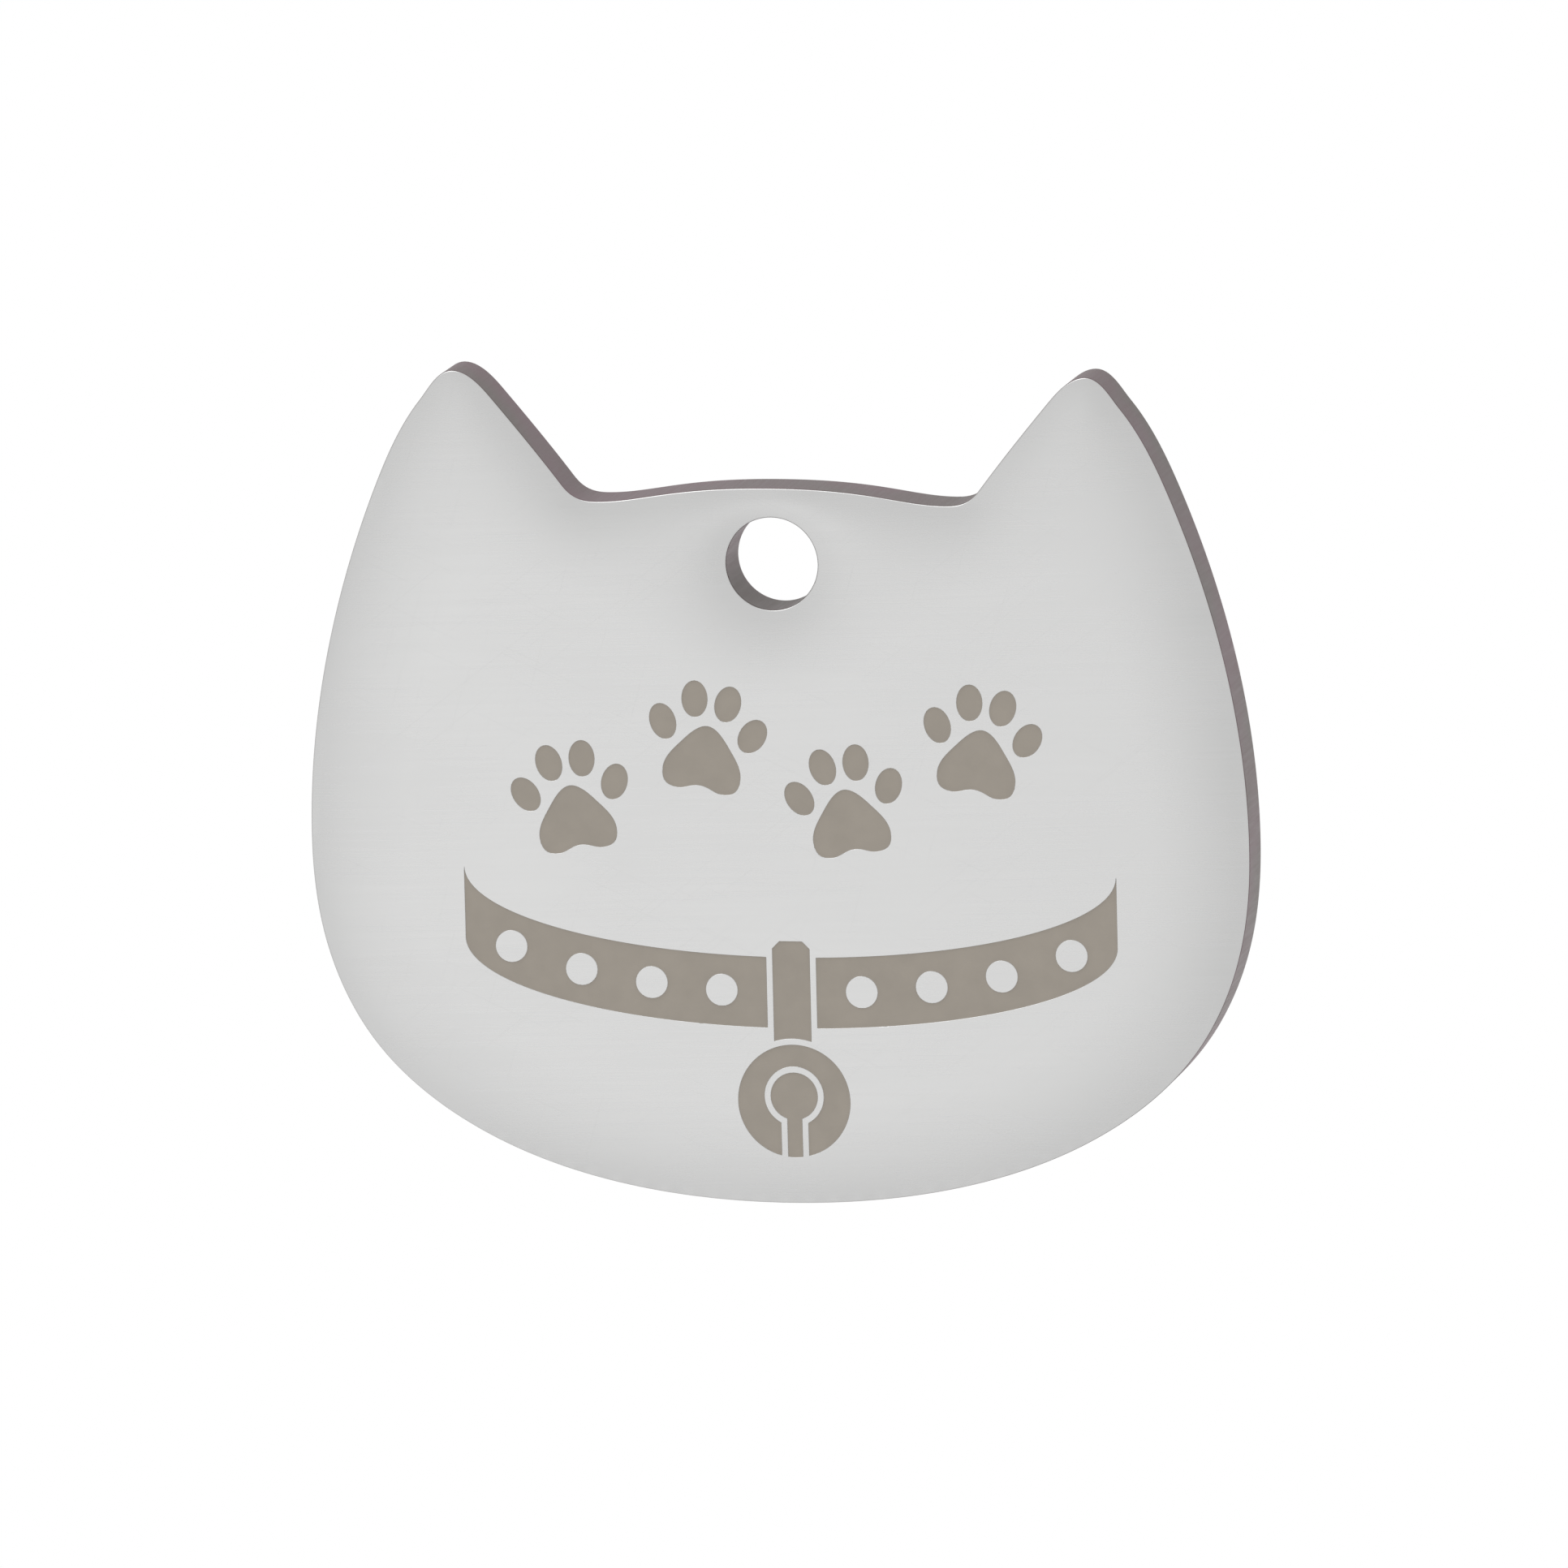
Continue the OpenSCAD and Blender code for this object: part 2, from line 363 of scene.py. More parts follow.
def strap_outlines(collar):
    """The right strap and its studs."""
    half = collar.width / 2
    inner = math.degrees(math.asin((collar.keeper / 2 + collar.line) / half))
    pull = arc_pull(90 - inner)

    def edge_point(lean):
        turn = math.radians(lean)
        return Vector((collar.shift + half * math.sin(turn), -collar.drop - collar.sag * math.cos(turn)))

    def edge_slope(lean):
        turn = math.radians(lean)
        return pull * Vector((half * math.cos(turn), collar.sag * math.sin(turn)))

    down = Vector((0, -collar.strap))
    start, end = edge_point(inner), edge_point(90)
    start_handle, end_handle = start + edge_slope(inner), end - edge_slope(90)
    strap = [
        (start, start, start_handle),
        (end_handle, end, end),
        (end + down, end + down, end_handle + down),
        (start_handle + down, start + down, start + down),
    ]
    pitch = (half - collar.stud_end) / STUD_COUNT
    studs = []
    for i in range(1, STUD_COUNT + 1):
        middle = edge_point(math.degrees(math.asin(i * pitch / half))) + down / 2
        studs.append(circle(middle, collar.stud / 2))
    return [strap] + studs


def left_strap_outlines(collar):
    """The left strap and its studs."""
    return [flipped(outline, collar.shift) for outline in strap_outlines(collar)]


def bell_centre(collar, bell):
    """The centre of the bell."""
    drop = collar.drop + collar.sag + collar.strap + bell.gap + bell.bell / 2
    return Vector((collar.shift, -drop))


def keeper_outlines(collar, bell):
    """The keeper loop, which follows the bell at its lower end."""
    side = collar.keeper / 2
    left, right = collar.shift - side, collar.shift + side
    top = -collar.drop - collar.sag + collar.keeper_rise
    bevel = collar.keeper_bevel
    reach = bell.bell / 2 + collar.line
    lean = math.degrees(math.asin(side / reach))
    foot = arc(bell_centre(collar, bell), reach, 90 + lean, 90 - lean, 1)
    return [foot + [
        corner(right, top - bevel),
        corner(right - bevel, top),
        corner(left + bevel, top),
        corner(left, top - bevel),
    ]]


def keyhole_arc(collar, bell, margin):
    """The round part of the keyhole, grown by a margin, from its right foot over its top."""
    radius = bell.slot / 2 + margin
    lean = math.degrees(math.asin((bell.stem / 2 + margin) / radius))
    middle = bell_centre(collar, bell) + Vector((0, bell.slot_rise))
    return arc(middle, radius, lean - 90, 270 - lean, ROUND_SPANS)


def bell_outlines(collar, bell):
    """The bell around its keyhole."""
    radius = bell.bell / 2
    lean = math.degrees(math.asin((bell.stem / 2 + collar.line) / radius))
    outside = arc(bell_centre(collar, bell), radius, lean - 90, 270 - lean, ROUND_SPANS)
    return [outside + turned_back(keyhole_arc(collar, bell, collar.line))]


def bell_slot_outlines(collar, bell):
    """The keyhole in the bell."""
    radius = bell.bell / 2
    lean = math.degrees(math.asin(bell.stem / 2 / radius))
    foot = arc(bell_centre(collar, bell), radius, -90 - lean, -90 + lean, 1)
    return [keyhole_arc(collar, bell, 0) + foot]


def paw_outlines(paw, number):
    """One paw print of the trail: a heel pad and four toes."""
    heel = HEEL_WIDTH_SHARE * paw.width / 2
    pad = both_halves([
        (heel * Vector((0, 0.86)), 0, 0, 0.3),
        (heel * Vector((0.6, 0.4)), -52, 0.33, 0.33),
        (heel * Vector((1, -0.36)), -90, 0.34, 0.5),
        (heel * Vector((0.56, -0.8)), -180, 0.5, 0.3),
        (heel * Vector((0, -0.66)), -180, 0.4, 0),
    ])
    outlines = [pad]
    for middle, degrees in TOES:
        move = Matrix.Translation((heel * Vector(middle)).to_3d())
        turn = Matrix.Rotation(math.radians(degrees), 4, "Z")
        stretch = Matrix.Diagonal((*(heel * Vector(TOE_REACH)), 1, 1))
        toe = placed(circle(Vector((0, 0)), 1), move @ turn @ stretch)
        outlines += [toe, flipped(toe)]
    side = 1 if number % 2 == 0 else -1
    across = (number - (PAW_COUNT + 1) / 2) * (paw.width + paw.gap)
    move = Matrix.Translation((across, side * paw.step - paw.drop, 0))
    turn = Matrix.Rotation(-side * paw.tilt, 4, "Z")
    settle = Matrix.Translation((0, -HEEL_DROP_SHARE * heel, 0))
    return [placed(outline, move @ turn @ settle) for outline in outlines]


# Mesh work: everything is drawn in a bmesh in millimetres


def add_outline(bm, knots, height):
    """Draws an outline as a closed loop of edges at a height, and returns the edges."""
    points = []
    for (_, start, pull), (push, end, _) in zip(knots, knots[1:] + knots[:1]):
        steps = math.ceil((end - start).length / OUTLINE_PITCH)
        if pull == start and push == end:
            points += [start.lerp(end, i / steps) for i in range(steps)]
        else:
            points += interpolate_bezier(start, pull, push, end, max(steps, FEWEST_STEPS) + 1)[:-1]
    vertices = [bm.verts.new((*point, height)) for point in points]
    return [bm.edges.new(pair) for pair in zip(vertices, vertices[1:] + vertices[:1])]


def faces_in(result, key="geom"):
    """The faces among what a bmesh operator returns."""
    return [part for part in result[key] if isinstance(part, bmesh.types.BMFace)]


def vertices_of(parts):
    """The vertices of some edges or faces, each once."""
    return list({vertex for part in parts for vertex in part.verts})


def fill_level(bm, edges, up):
    """Fills the space among closed loops of edges with faces that look up or down."""
    normal = (0, 0, 1 if up else -1)
    return faces_in(bmesh.ops.triangle_fill(bm, edges=edges, use_beauty=True, normal=normal))


def filled_again(bm, faces):
    """Fills the space of some level faces anew, with triangles that suit its present edge."""
    known = set(bm.edges)
    bmesh.ops.delete(bm, geom=faces, context="FACES")
    return fill_level(bm, [edge for edge in bm.edges if edge in known and edge.is_boundary], up=True)


def cut_into_grid(bm, faces, spacing):
    """Cuts level faces along an even grid and returns them all."""
    points = vertices_of(faces)
    for axis in (0, 1):
        normal = Vector((0, 0, 0))
        normal[axis] = 1
        low = min(vertex.co[axis] for vertex in points)
        high = max(vertex.co[axis] for vertex in points)
        for line in range(math.ceil(low / spacing), math.floor(high / spacing) + 1):
            geometry = list({part for face in faces for part in (face, *face.edges, *face.verts)})
            result = bmesh.ops.bisect_plane(
                bm, geom=geometry, dist=MERGE_DISTANCE, plane_co=normal * line * spacing, plane_no=normal
            )
            faces = faces_in(result)
    return faces


def traced(knots):
    """Short stretches along an outline: the middle of each and its length."""
    points = []
    for (_, start, pull), (push, end, _) in zip(knots, knots[1:] + knots[:1]):
        points += interpolate_bezier(start, pull, push, end, TRACE_STEPS + 1)[:-1]
    points = np.array(points, dtype=np.float32)
    steps = np.roll(points, -1, axis=0) - points
    return points + steps / 2, np.linalg.norm(steps, axis=1)


def face_roll(plate, places):
    """How near some places are to an edge, how far the face rolls back there, and its slope.

    Nearness grows from 0 inside to 1 at an edge. The distance to the edges is
    read from how crowded they are, which is exact beside a long straight edge
    and stays smooth where two edges are near."""
    rims = [traced(head_outline(plate)), traced(circle(Vector((0, 0)), plate.hole / 2))]
    middles, lengths = (np.concatenate(parts) for parts in zip(*rims))
    shares, drops, slopes = [], [], []
    for first in range(0, len(places), BATCH):
        here = places[first:first + BATCH]
        squares = np.maximum(((here[:, None] - middles) ** 2).sum(axis=2), MERGE_DISTANCE ** 2)
        weights = lengths / (squares * np.sqrt(squares))
        distance = np.sqrt(2 / weights.sum(axis=1))[:, None]
        pulls = weights / squares
        away = 3 / 4 * distance ** 3 * (here * pulls.sum(axis=1)[:, None] - pulls @ middles)
        share = np.maximum(1 - distance / plate.roll_width, 0)
        shares.append(share[:, 0])
        drops.append(plate.roll_drop * share[:, 0] ** ROLL_POWER)
        steepest = ROLL_POWER * plate.roll_drop / plate.roll_width
        slopes.append(-steepest * share ** (ROLL_POWER - 1) * away)
    return np.concatenate(shares), np.concatenate(drops), np.concatenate(slopes)


def roll_face_back(bm, plate):
    """Rolls the front side back toward the edges, and returns the normal of every face corner.

    Each vertex keeps how near it is to an edge, for the painted shade there. A corner
    on a wall has a zero normal, which leaves it to Blender."""
    rim = bm.verts.layers.float.new(RIM)
    up = {vertex: Vector((0, 0, 1)) for vertex in bm.verts}
    front = [vertex for vertex in bm.verts if vertex.co.z > 0]
    places = np.array([vertex.co.xy for vertex in front], dtype=np.float32)
    for vertex, share, drop, slope in zip(front, *face_roll(plate, places)):
        vertex[rim] = share
        vertex.co.z -= drop
        up[vertex] = Vector((*slope, 1)).normalized()
    level = set(vertices_of(face for face in bm.faces if abs(face.normal.z) > LEVEL_SHARE))
    unset = Vector((0, 0, 0))
    corners = []
    for face in bm.faces:
        side = math.copysign(1, face.normal.z) if abs(face.normal.z) > WALL_SHARE else 0
        corners += [side * up[vertex] if vertex in level else unset for vertex in face.verts]
    return corners


def mirror_level(bm):
    """Mirrors everything across the middle of the thickness."""
    geometry = bm.verts[:] + bm.edges[:] + bm.faces[:]
    bmesh.ops.mirror(bm, geom=geometry, axis="Z", merge_dist=MERGE_DISTANCE)


def open_edges(bm, above):
    """The open edges on the front side, or on the back side."""
    return [edge for edge in bm.edges if edge.is_boundary and (edge.verts[0].co.z > 0) == above]


def build_object(name, bm, plate, materials, replaced):
    """Rolls a finished drawing back, stands it upright in metres and makes it a piece of the tag."""
    bmesh.ops.recalc_face_normals(bm, faces=bm.faces)
    for face in bm.faces:
        face.smooth = True
    for edge in bm.edges:
        edge.smooth = edge.calc_face_angle(0) < SMOOTH_ANGLE
    corners = roll_face_back(bm, plate)
    upright = Matrix.Rotation(math.radians(90), 4, "X")
    bm.transform(Matrix.Scale(MM, 4) @ upright)
    mesh = bpy.data.meshes.new(name)
    bm.to_mesh(mesh)
    mesh.normals_split_custom_set([upright @ normal for normal in corners])
    bm.free()
    for material in materials:
        mesh.materials.append(material)
    piece = bpy.data.objects.new(name, mesh)
    bpy.context.scene.collection.objects.link(piece)
    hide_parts(replaced)
    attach(piece, BODY)


def rounding_steps(size):
    """The two steps of a rounding from a wall to a face: how far each goes in, and how far up."""
    first = ROUNDING_SHARE * size
    second = size - first
    return (first, second), (second, first)


def cut_wall(bm, plate):
    """The cut edge of the head from mid thickness to the front, its rounding and the band inside."""
    outline = add_outline(bm, head_outline(plate), 0)
    straight = plate.thickness / 2 - plate.edge_break
    for height in (straight - plate.edge_break, plate.edge_break):
        extruded = bmesh.ops.extrude_edge_only(bm, edges=outline)["geom"]
        outline = [part for part in extruded if isinstance(part, bmesh.types.BMEdge)]
        bmesh.ops.translate(bm, verts=vertices_of(outline), vec=(0, 0, height))
    lid = bmesh.ops.contextual_create(bm, geom=outline)["faces"]
    bmesh.ops.recalc_face_normals(bm, faces=bm.faces)
    if lid[0].normal.z < 0:
        bmesh.ops.reverse_faces(bm, faces=bm.faces)
    for thickness, depth in (*rounding_steps(plate.edge_break), (plate.band, 0)):
        bmesh.ops.inset_region(
            bm, faces=lid, thickness=thickness, depth=depth, use_boundary=True, use_even_offset=True
        )
    bmesh.ops.delete(bm, geom=lid, context="FACES_ONLY")


def drill_hole(bm, plate):
    """The ring hole's wall from mid thickness to the front, its rounding and the band around it."""
    radius, half = plate.hole / 2, plate.thickness / 2
    rounded = plate.edge_break
    step_in, step_up = rounding_steps(rounded)[0]
    profile = (
        (radius, 0),
        (radius, half - 2 * rounded),
        (radius, half - rounded),
        (radius + step_in, half - rounded + step_up),
        (radius + rounded, half),
        (radius + rounded + plate.band, half),
    )
    vertices = [bm.verts.new((x, 0, z)) for x, z in profile]
    edges = [bm.edges.new(pair) for pair in zip(vertices, vertices[1:])]
    bmesh.ops.spin(
        bm, geom=vertices + edges, cent=(0, 0, 0), axis=(0, 0, 1), angle=math.radians(360),
        steps=HOLE_STEPS, use_merge=True, use_duplicate=False
    )


def engraved_outlines(collar, bell, paw):
    """All outlines that are engraved in the face."""
    outlines = left_strap_outlines(collar) + strap_outlines(collar) + keeper_outlines(collar, bell)
    outlines += bell_outlines(collar, bell) + bell_slot_outlines(collar, bell)
    for number in range(1, PAW_COUNT + 1):
        outlines += paw_outlines(paw, number)
    return outlines


def build_plate(plate, collar, bell, paw, materials):
    """The steel plate with its ring hole and engraved pockets."""
    half = plate.thickness / 2
    bm = bmesh.new()
    cut_wall(bm, plate)
    drill_hole(bm, plate)
    mirror_level(bm)
    for face in bm.faces:
        face.material_index = CUT_EDGE if abs(face.normal.z) < CUT_SHARE else SATIN
    fill_level(bm, open_edges(bm, above=False), up=False)
    rim_edges = open_edges(bm, above=True)
    engraved = []
    for outline in engraved_outlines(collar, bell, paw):
        engraved += add_outline(bm, outline, half)
    field = fill_level(bm, rim_edges + engraved, up=True)
    pockets = fill_level(bm, engraved, up=True)
    for face in pockets:
        face.material_index = ETCHED
    around = [face for face in bm.faces if face.material_index != ETCHED]
    lips = bmesh.ops.inset_region(bm, faces=around, thickness=plate.lip)["faces"]
    field = filled_again(bm, field)
    bmesh.ops.translate(bm, verts=vertices_of(pockets), vec=(0, 0, -plate.lip))
    front = cut_into_grid(bm, field + lips + pockets, plate.grid)
    floors = [face for face in front if face.material_index == ETCHED]
    extruded = bmesh.ops.extrude_face_region(bm, geom=floors)
    bottoms = [part for part in extruded["geom"] if isinstance(part, bmesh.types.BMVert)]
    bmesh.ops.translate(bm, verts=bottoms, vec=(0, 0, plate.lip - plate.engraving))
    bmesh.ops.delete(bm, geom=floors, context="FACES")
    build_object("steel_plate", bm, plate, materials, "tag_plate")


def sink_inside(bm, outline, surface, enamel):
    """Lowers the enamel's surface inside its outline, by a climb that narrows where the pocket does."""
    walls = BVHTree.FromBMesh(bm)
    bmesh.ops.inset_region(bm, faces=surface, thickness=enamel.climb, use_even_offset=True)
    outer = set(vertices_of(outline))
    for start in outer:
        inward = {edge.other_vert(start) for edge in start.link_edges} - outer
        end = max(inward, key=lambda vertex: vertex.co.z)
        heading = (end.co - start.co).normalized()
        below = start.co - Vector((0, 0, enamel.dip)) + MERGE_DISTANCE * heading
        reach = (end.co - start.co).length
        is_sharp = reach >= CORNER_REACH * enamel.climb
        across = None if is_sharp else walls.ray_cast(below, heading)[3]
        share = min(CLIMB_SHARE * (across or MERGE_DISTANCE) / reach, 1)
        end.co = start.co.lerp(end.co, share)
        end.co.z -= enamel.dip * share


def build_fill(name, node, outlines, plate, enamel, material):
    """The enamel in the pockets of some outlines."""
    top = plate.thickness / 2 - enamel.drop
    floor = plate.thickness / 2 - plate.engraving
    bm = bmesh.new()
    edges = []
    for outline in outlines:
        edges += add_outline(bm, outline, top)
    extruded = bmesh.ops.extrude_edge_only(bm, edges=edges)["geom"]
    foot = [part for part in extruded if isinstance(part, bmesh.types.BMEdge)]
    for vertex in vertices_of(foot):
        vertex.co.z = floor
    fill_level(bm, foot, up=False)
    surface = fill_level(bm, edges, up=True)
    sink_inside(bm, edges, surface, enamel)
    cut_into_grid(bm, filled_again(bm, surface), plate.grid)
    build_object(name, bm, plate, [material], node)


# Materials: all read Object coordinates, so a pattern stays on its piece

# Sizes of each pattern's spots, across the tag, through it and up
CLOUDS = (7 * MM, 7 * MM, 5 * MM)
GRAIN = (60 * UM, 60 * UM, 60 * UM)
BRUSHING = (4 * MM, 4 * MM, 80 * UM)
CUT_LINES = (110 * UM, 2 * MM, 110 * UM)
CUT_PATCHES = (5 * MM, 5 * MM, 5 * MM)
PITS = (40 * UM, 40 * UM, 40 * UM)
PEBBLES = (70 * UM, 70 * UM, 70 * UM)
MOTTLING = (700 * UM, 700 * UM, 700 * UM)
FLOOR_GRAIN = (20 * MM, 20 * MM, 20 * MM)

# Slant of the brushing, in degrees
BRUSHING_SLANT = 2

# Slant in degrees of each kind of hairline scratch, its length, and the noise above which it
# shows, and the width of a scratch and the rise in noise that brings it to its full depth
SCRATCHES = ((38, 5 * MM, 0.76), (-24, 3 * MM, 0.78), (74, 2.5 * MM, 0.8))
SCRATCH_WIDTH = 45 * UM
SCRATCH_RISE = 0.06


def add_node(tree, kind, inputs=None, **settings):
    """Adds a shader node, sets its options, and sets or links its inputs."""
    made = tree.nodes.new(kind)
    for name, value in settings.items():
        setattr(made, name, value)
    for name, value in (inputs or {}).items():
        if isinstance(value, bpy.types.NodeSocket):
            tree.links.new(value, made.inputs[name])
        else:
            made.inputs[name].default_value = value
    return made


def new_material(name):
    """A material with an empty node tree, and the place on the piece that its patterns read."""
    material = bpy.data.materials.new(name)
    material.use_nodes = True
    tree = material.node_tree
    tree.nodes.clear()
    place = add_node(tree, "ShaderNodeTexCoord").outputs["Object"]
    return material, tree, place


def pattern(tree, place, size, slant=0, detail=2):
    """Noise whose spots have the given size along x, y and z, slanted by some degrees in the face."""
    turn = (0, math.radians(slant), 0)
    turned = add_node(tree, "ShaderNodeMapping", {"Vector": place, "Rotation": turn}).outputs["Vector"]
    scale = [1 / side for side in size]
    scaled = add_node(tree, "ShaderNodeMapping", {"Vector": turned, "Scale": scale}).outputs["Vector"]
    inputs = {"Vector": scaled, "Scale": 1.0, "Detail": detail}
    return add_node(tree, "ShaderNodeTexNoise", inputs).outputs["Fac"]


def remap(tree, value, low, high, new_low, new_high):
    """A value moved from one range to another, and held inside it."""
    inputs = {"Value": value, "From Min": low, "From Max": high, "To Min": new_low, "To Max": new_high}
    return add_node(tree, "ShaderNodeMapRange", inputs).outputs["Result"]


def stretched(tree, value, low, high):
    """A share that rises from 0 to 1 while a value rises from low to high."""
    return remap(tree, value, low, high, 0, 1)


def ranged(tree, share, low, high):
    """A value that runs from low to high as a share rises from 0 to 1."""
    return remap(tree, share, 0, 1, low, high)


def added(tree, first, second):
    """The sum of two values."""
    return add_node(tree, "ShaderNodeMath", {0: first, 1: second}, operation="ADD").outputs["Value"]


def maximum(tree, first, second):
    """The larger of two values."""
    return add_node(tree, "ShaderNodeMath", {0: first, 1: second}, operation="MAXIMUM").outputs["Value"]


def mixed(tree, share, first, second):
    """A colour that moves from one colour to another as the share rises."""
    inputs = {"Fac": share, "Color1": first, "Color2": second}
    return add_node(tree, "ShaderNodeMixRGB", inputs).outputs["Color"]


def tinted(tree, share, base, dark_share, light_share):
    """A colour that runs from a darker to a lighter tone of the base as the share rises."""
    dark, light = ([channel * tone for channel in base] + [1] for tone in (dark_share, light_share))
    return mixed(tree, share, dark, light)


def bumped(tree, height, depth):
    """A normal roughened by a height whose full range is the given depth in metres."""
    inputs = {"Height": height, "Distance": depth, "Strength": 1.0}
    return add_node(tree, "ShaderNodeBump", inputs).outputs["Normal"]


def finish_material(tree, inputs):
    """Ends a material with its surface shader."""
    shader = add_node(tree, "ShaderNodeBsdfPrincipled", inputs)
    add_node(tree, "ShaderNodeOutputMaterial", {"Surface": shader.outputs["BSDF"]})


def satin_steel(base):
    """Satin stainless with brushing, clouds and hairline scratches, with painted shade that darkens it a
    little at its edges.
    """
    material, tree, place = new_material("satin_steel")
    rim = add_node(tree, "ShaderNodeAttribute", attribute_name=RIM).outputs["Fac"]
    clouds = stretched(tree, pattern(tree, place, CLOUDS, detail=3), 0.3, 0.7)
    grain = stretched(tree, pattern(tree, place, GRAIN), 0.2, 0.8)
    lines = stretched(tree, pattern(tree, place, BRUSHING, slant=BRUSHING_SLANT, detail=3), 0.2, 0.8)
    height = added(tree, ranged(tree, grain, 0, 0.5), ranged(tree, lines, 0, 0.3))
    for slant, reach, level in SCRATCHES:
        streaks = pattern(tree, place, (reach, reach, SCRATCH_WIDTH), slant=slant, detail=0)
        scratches = stretched(tree, streaks, level, level + SCRATCH_RISE)
        height = added(tree, height, ranged(tree, scratches, 0, -0.5))
    tone = added(tree, ranged(tree, clouds, 0, 0.6), ranged(tree, lines, 0, 0.4))
    # Painted shade: near its edges the face is mixed into a darker copy of its own tone
    unshaded = tinted(tree, tone, base, 0.975, 1.02)
    edge_shaded = tinted(tree, tone, base, 0.9, 0.945)
    roughness = added(tree, ranged(tree, clouds, 0.24, 0.29), ranged(tree, lines, -0.02, 0.03))
    finish_material(tree, {
        "Base Color": mixed(tree, stretched(tree, rim, 0.25, 0.9), unshaded, edge_shaded),
        "Metallic": 1.0,
        "Roughness": roughness,
        "Normal": bumped(tree, height, 1 * UM),
    })
    return material


def shaded_cut_steel(base, stain):
    """Steel of the cut edge, darker partly as a cut edge's own tone and partly as painted shade of the
    side walls, with fine lines across the sheet and greyer patches.
    """
    material, tree, place = new_material("shaded_cut_steel")
    lines = stretched(tree, pattern(tree, place, CUT_LINES, detail=3), 0.25, 0.75)
    patches = stretched(tree, pattern(tree, place, CUT_PATCHES, detail=3), 0.4, 0.6)
    clean, stained = (tinted(tree, lines, tone, 0.9, 1.08) for tone in (base, stain))
    finish_material(tree, {
        "Base Color": mixed(tree, patches, clean, stained),
        "Metallic": 0.55,
        "Roughness": ranged(tree, lines, 0.42, 0.55),
        "Specular IOR Level": 0.2,
        "Normal": bumped(tree, lines, 5 * UM),
    })
    return material


def etched_steel(base):
    """Dull steel of the pockets' walls and floors."""
    material, tree, place = new_material("etched_steel")
    pits = pattern(tree, place, PITS, detail=3)
    finish_material(tree, {
        "Base Color": tinted(tree, pits, base, 0.55, 0.8),
        "Metallic": 1.0,
        "Roughness": 0.6,
        "Normal": bumped(tree, pits, 3 * UM),
    })
    return material


def matt_enamel(base):
    """Matt taupe enamel with a fine pebbled skin and faint mottling."""
    material, tree, place = new_material("matt_enamel")
    pebbles = pattern(tree, place, PEBBLES, detail=3)
    mottling = stretched(tree, pattern(tree, place, MOTTLING, detail=3), 0.3, 0.7)
    finish_material(tree, {
        "Base Color": tinted(tree, mottling, base, 0.96, 1.03),
        "Metallic": 0.0,
        "Roughness": ranged(tree, mottling, 0.5, 0.6),
        "Specular IOR Level": 0.35,
        "Normal": bumped(tree, pebbles, 2 * UM),
    })
    return material


class StageSizes(bpy.types.PropertyGroup):
    """Sizes of the camera's view and the floor"""

    view_width: length("View width", "Width that the camera takes in at the tag", 50.24)
    view_distance: length("View distance", "Distance of the camera from the tag", 650)
    view_across: length("View across", "Place of the view's middle to the right of the ring hole", 0.26)
    view_drop: length("View drop", "Depth of the view's middle below the ring hole", 7.13)
    view_azimuth: angle("View azimuth", "Turn of the camera to the tag's right side", 12.6)
    view_elevation: angle("View elevation", "Rise of the camera above the tag", 10.2)
    view_roll: angle("View roll", "Roll of the camera", -1.35)
    floor_gap: length("Floor gap", "Height of the chin above the floor", 90)
    floor_width: length("Floor width", "Width of the floor", 400)


def place_around(holder, azimuth, elevation, distance, target, roll=0):
    """Puts a camera or lamp round a target and aims it there.

    An azimuth of 0 is in front of the tag, and a positive one to the right."""
    heading = Vector((math.sin(azimuth), -math.cos(azimuth), 0))
    away = math.cos(elevation) * heading + Vector((0, 0, math.sin(elevation)))
    holder.location = target + distance * away
    holder.rotation_mode = "QUATERNION"
    holder.rotation_quaternion = away.to_track_quat("Z", "Y") @ Quaternion((0, 0, 1), roll)
    bpy.context.scene.collection.objects.link(holder)


def add_camera(stage):
    """The camera at the photograph's viewing angle."""
    data = bpy.data.cameras.new("camera")
    data.lens = data.sensor_width * stage.view_distance / stage.view_width
    data.clip_end = CLIP_END
    camera = bpy.data.objects.new("camera", data)
    target = Vector((stage.view_across, plate_low.y, -stage.view_drop))
    azimuth, elevation = stage.view_azimuth, stage.view_elevation
    place_around(camera, azimuth, elevation, stage.view_distance, target, roll=stage.view_roll)
    bpy.context.scene.camera = camera


def add_lamp(name, azimuth, elevation, distance, size, power):
    """A soft square lamp aimed at the middle of the tag, with its place in degrees and metres."""
    middle = (plate_low + plate_high) / 2
    data = bpy.data.lights.new(name, "AREA")
    data.size = size
    data.energy = power
    lamp = bpy.data.objects.new(name, data)
    place_around(lamp, math.radians(azimuth), math.radians(elevation), distance, middle)
    lamp.visible_camera = False


def strength_by_ray(tree, seen, mirrored, other):
    """A strength with one value for the camera's rays, one for reflections and one for other light."""
    path = add_node(tree, "ShaderNodeLightPath")
    sharp = maximum(tree, path.outputs["Is Glossy Ray"], path.outputs["Is Transmission Ray"])
    return ranged(tree, path.outputs["Is Camera Ray"], ranged(tree, sharp, other, mirrored), seen)


def add_floor(stage, base):
    """The pale floor below the hanging tag."""
    bm = bmesh.new()
    bmesh.ops.create_grid(bm, x_segments=4, y_segments=4, size=stage.floor_width / 2)
    bmesh.ops.translate(bm, verts=bm.verts, vec=(0, 0, plate_low.z - stage.floor_gap))
    mesh = bpy.data.meshes.new("floor")
    bm.to_mesh(mesh)
    bm.free()
    floor = bpy.data.objects.new("floor", mesh)
    bpy.context.scene.collection.objects.link(floor)
    material, tree, place = new_material("pale_floor")
    finish_material(tree, {
        "Base Color": tinted(tree, pattern(tree, place, FLOOR_GRAIN), base, 0.99, 1.0),
        "Roughness": 0.9,
        "Specular IOR Level": 0.0,
        "Emission Color": (1, 1, 1, 1),
        "Emission Strength": strength_by_ray(tree, seen=0.25, mirrored=0.0, other=0.0),
    })
    mesh.materials.append(material)


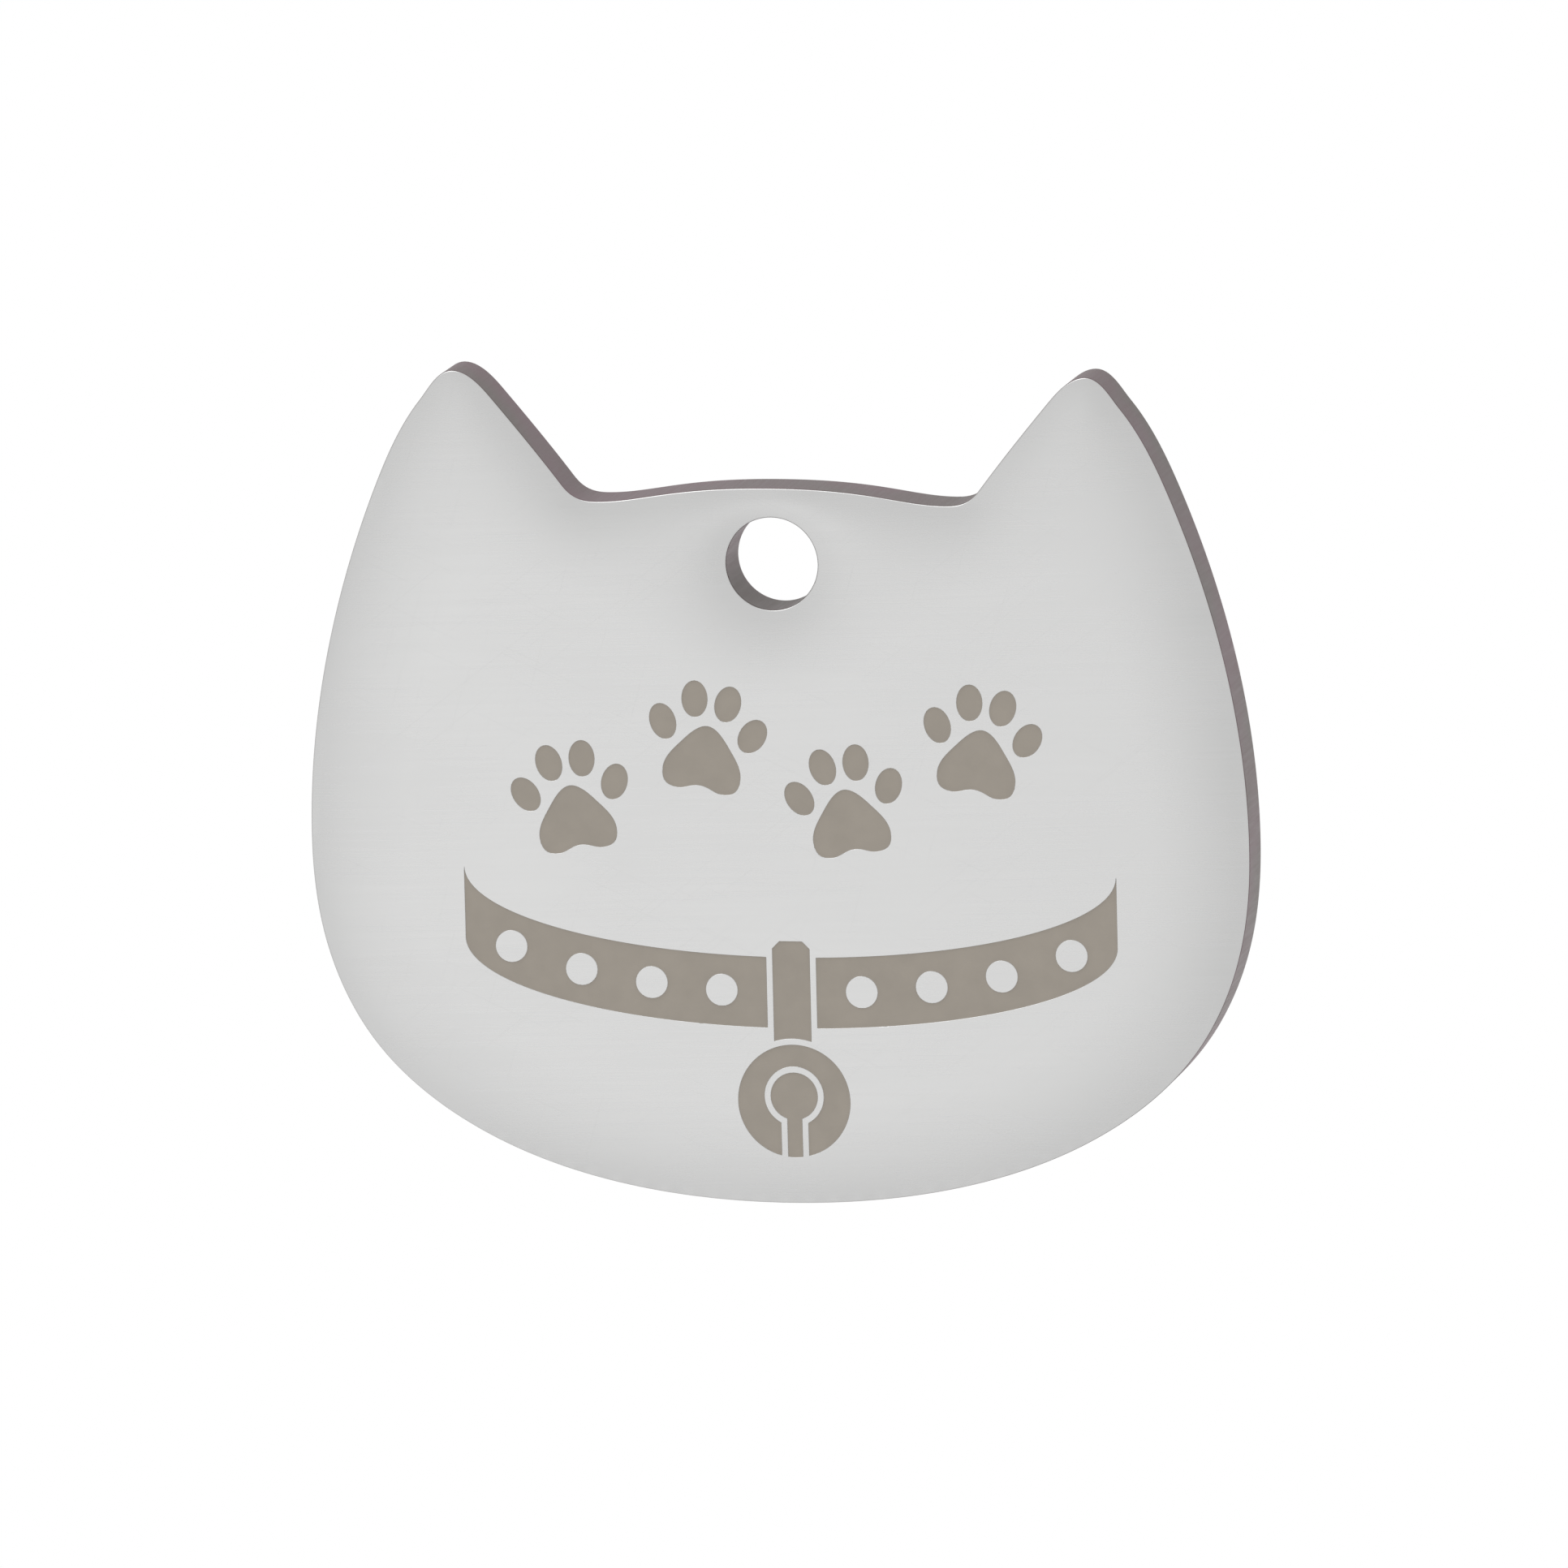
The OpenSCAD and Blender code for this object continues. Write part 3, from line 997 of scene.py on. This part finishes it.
def light_world():
    """The pale studio around the tag, white where the camera sees it."""
    world = bpy.data.worlds.new("studio")
    bpy.context.scene.world = world
    world.use_nodes = True
    tree = world.node_tree
    tree.nodes.clear()
    strength = strength_by_ray(tree, seen=1.0, mirrored=0.87, other=0.86)
    background = add_node(tree, "ShaderNodeBackground", {"Color": (1, 1, 1, 1), "Strength": strength})
    add_node(tree, "ShaderNodeOutputWorld", {"Surface": background.outputs["Background"]})


class TAG_OT_steel_plate(bpy.types.Operator):
    """Build the steel plate with its ring hole and engraved pockets"""

    bl_idname = "tag.steel_plate"
    bl_label = "Steel plate"

    def execute(self, context):
        scene = context.scene
        colours = scene.tag_finishes
        materials = [
            satin_steel(colours.steel),
            shaded_cut_steel(colours.cut_edge, colours.cut_stain),
            etched_steel(colours.steel),
        ]
        groups = (scene.tag_plate, scene.tag_collar, scene.tag_bell, scene.tag_paws)
        build_plate(*(drawn(group) for group in groups), materials)
        return {"FINISHED"}


def enamel_material():
    """The enamel, made once for all fills."""
    known = bpy.data.materials.get("matt_enamel")
    return known or matt_enamel(bpy.context.scene.tag_finishes.enamel)


def fill(node, outlines):
    """Fills the pockets of some outlines with enamel, in place of the frame's node."""
    scene = bpy.context.scene
    name = node.replace("fill", "enamel")
    build_fill(name, node, outlines, drawn(scene.tag_plate), drawn(scene.tag_enamel), enamel_material())


class TAG_OT_collar_enamel(bpy.types.Operator):
    """Fill the collar's straps and its keeper loop with enamel"""

    bl_idname = "tag.collar_enamel"
    bl_label = "Collar enamel"

    def execute(self, context):
        collar, bell = drawn(context.scene.tag_collar), drawn(context.scene.tag_bell)
        fill("left_strap_fill", left_strap_outlines(collar))
        fill("right_strap_fill", strap_outlines(collar))
        fill("keeper_fill", keeper_outlines(collar, bell))
        return {"FINISHED"}


class TAG_OT_bell_enamel(bpy.types.Operator):
    """Fill the bell and its keyhole with enamel"""

    bl_idname = "tag.bell_enamel"
    bl_label = "Bell enamel"

    def execute(self, context):
        collar, bell = drawn(context.scene.tag_collar), drawn(context.scene.tag_bell)
        fill("bell_fill", bell_outlines(collar, bell))
        fill("bell_slot_fill", bell_slot_outlines(collar, bell))
        return {"FINISHED"}


class TAG_OT_paw_enamel(bpy.types.Operator):
    """Fill the trail of paw prints with enamel"""

    bl_idname = "tag.paw_enamel"
    bl_label = "Paw print enamel"

    def execute(self, context):
        paw = drawn(context.scene.tag_paws)
        for number in range(1, PAW_COUNT + 1):
            fill(f"paw_fill_{number}", paw_outlines(paw, number))
        return {"FINISHED"}


class TAG_OT_stage(bpy.types.Operator):
    """Set up the floor, the lamps and the camera"""

    bl_idname = "tag.stage"
    bl_label = "Stage"

    def execute(self, context):
        stage = context.scene.tag_stage
        add_camera(stage)
        add_floor(stage, context.scene.tag_finishes.floor)
        light_world()
        add_lamp("overhead_lamp", azimuth=-40, elevation=55, distance=0.7, size=0.5, power=1.0)
        add_lamp("front_glow", azimuth=-16, elevation=-11, distance=0.6, size=0.15, power=0.023)
        add_lamp("back_glow", azimuth=168, elevation=-14, distance=0.25, size=0.12, power=0.016)
        context.scene.view_settings.view_transform = "Standard"
        return {"FINISHED"}


GROUPS = {
    "tag_plate": PlateSizes,
    "tag_collar": CollarSizes,
    "tag_bell": BellSizes,
    "tag_paws": PawSizes,
    "tag_enamel": EnamelSizes,
    "tag_finishes": Finishes,
    "tag_stage": StageSizes,
}
OPERATORS = (
    TAG_OT_steel_plate,
    TAG_OT_collar_enamel,
    TAG_OT_bell_enamel,
    TAG_OT_paw_enamel,
    TAG_OT_stage,
)


class TAG_PT_pet_tag(bpy.types.Panel):
    """Sizes, colours and pieces of the pet tag"""

    bl_label = "Pet Tag"
    bl_idname = "TAG_PT_pet_tag"
    bl_space_type = "VIEW_3D"
    bl_region_type = "UI"
    bl_category = "Tag"

    def draw(self, context):
        for group, kind in GROUPS.items():
            box = self.layout.box()
            box.label(text=kind.__doc__)
            for name in kind.__annotations__:
                box.prop(getattr(context.scene, group), name)
        for operator in OPERATORS:
            self.layout.operator(operator.bl_idname)


def register():
    """Registers the classes and gives the scene its sizes and colours."""
    for kind in (*GROUPS.values(), *OPERATORS, TAG_PT_pet_tag):
        bpy.utils.register_class(kind)
    for group, kind in GROUPS.items():
        setattr(bpy.types.Scene, group, bpy.props.PointerProperty(type=kind))


def unregister():
    """Takes the classes and the scene's sizes and colours away again."""
    for group in GROUPS:
        delattr(bpy.types.Scene, group)
    for kind in reversed((*GROUPS.values(), *OPERATORS, TAG_PT_pet_tag)):
        bpy.utils.unregister_class(kind)


def main():
    """Builds the tag and its stage."""
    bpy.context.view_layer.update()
    register()
    bpy.ops.tag.steel_plate()
    bpy.ops.tag.collar_enamel()
    bpy.ops.tag.bell_enamel()
    bpy.ops.tag.paw_enamel()
    bpy.ops.tag.stage()


if __name__ == "__main__":
    main()
